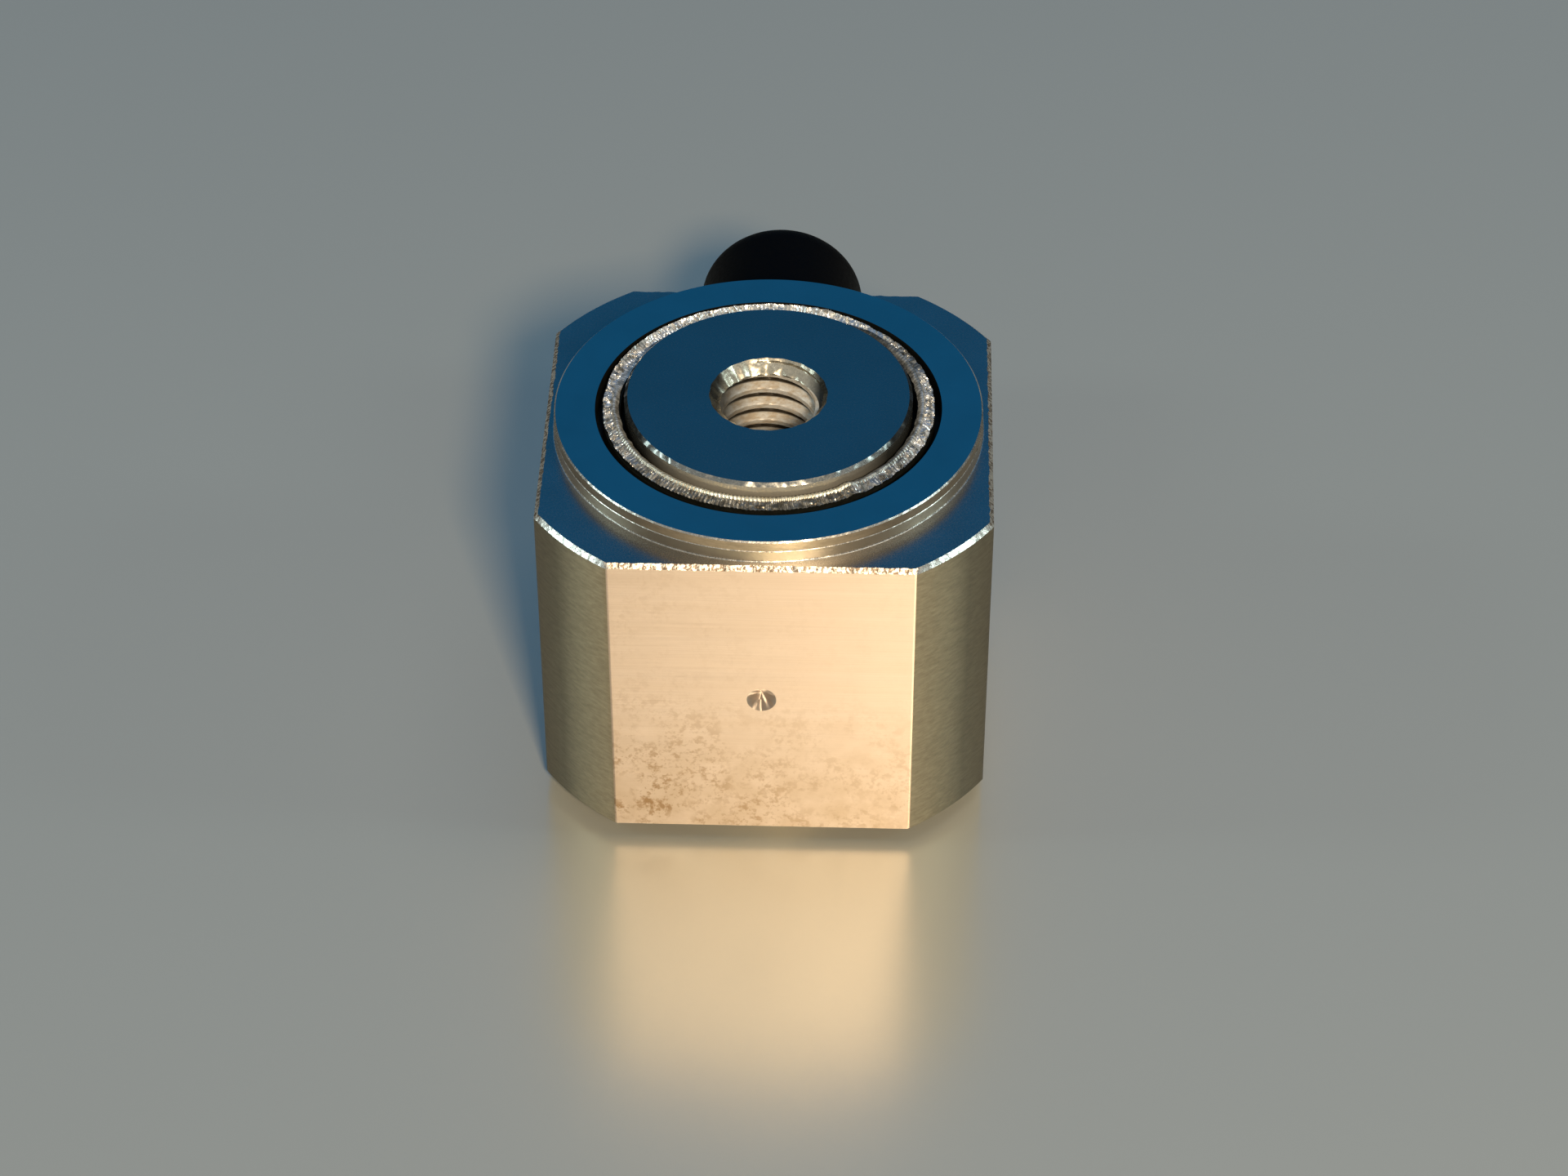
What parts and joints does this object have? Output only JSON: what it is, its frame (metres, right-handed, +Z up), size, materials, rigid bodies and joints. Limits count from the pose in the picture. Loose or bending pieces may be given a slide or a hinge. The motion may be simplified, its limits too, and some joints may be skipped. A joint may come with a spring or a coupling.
{
  "type": "piezoelectric force sensor",
  "caption": "Squat stainless-steel press force sensor: block with milled flats, welded force cap with a tapped hole, and a capped coaxial connector at its back.",
  "frame": {"origin": "centre of the foot's bearing face, on the force axis", "axes": "+Z up along the force axis, towards the loaded cap; +Y out of the back flat along the connector; +X to the right, seen from the front flat"},
  "size_m": [0.0158, 0.0248, 0.014],
  "materials": {
    "ground_steel": "ground flats, turned corners and fine-turned top faces",
    "lapped_steel": "fine lapped, dull at the edge chamfer",
    "weld_steel": "rough, rippled weld metal",
    "crystal": "ground and metallised faces",
    "gilt_metal": "gold plated",
    "insulator": "satin white fluoropolymer",
    "connector_steel": "turned and threaded",
    "cap_plastic": "soft matt black vinyl"
  },
  "bodies": {
    "sensor": {"housing": "ground_steel", "force_cap": "lapped_steel", "weld_bead": "weld_steel", "upper_crystal": "crystal", "lower_crystal": "crystal", "electrode": "gilt_metal", "insulating_sleeve": "insulator", "connector_body": "connector_steel", "connector_insulator": "insulator", "centre_contact": "gilt_metal"},
    "cap": {"protective_cap": "cap_plastic"}
  },
  "joints": [
    {"name": "cap_pull", "type": "slide", "parent": "sensor", "child": "cap", "axis": [0, 1, 0], "range_m": [0, 0.01]}
  ]
}
